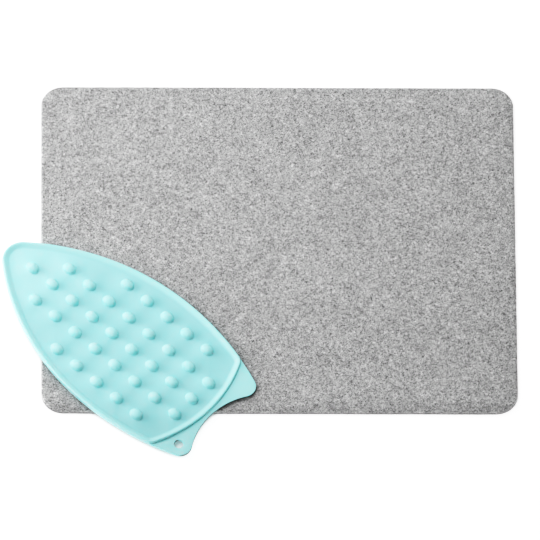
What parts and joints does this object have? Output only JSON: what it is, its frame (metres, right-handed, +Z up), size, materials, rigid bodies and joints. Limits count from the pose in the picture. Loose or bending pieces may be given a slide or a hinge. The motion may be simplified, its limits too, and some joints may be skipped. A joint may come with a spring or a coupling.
{
  "type": "ironing pad",
  "caption": "Flat wool-felt ironing mat with rounded corners, and a moulded silicone iron rest lying across a corner: raised rim, domed nubs, eared tail and hang hole. The rest lifts off.",
  "frame": {"origin": "middle of the felt mat's underside, on the surface that the mat lies on", "axes": "+X along the mat's long side, +Z up out of the mat, front edge of the mat towards -Y"},
  "size_m": [0.4681, 0.3912, 0.0128],
  "materials": {
    "felt": "heathered light-grey needled wool felt, matt and fibrous",
    "silicone": "satin moulded silicone, pale aqua, slightly translucent"
  },
  "bodies": {
    "mat": {"felt_mat": "felt"},
    "rest": {"iron_rest": "silicone"}
  },
  "joints": [
    {"name": "rest_lift", "type": "slide", "parent": "mat", "child": "rest", "axis": [0, 0, 1], "range_m": [0, 0.12]}
  ]
}
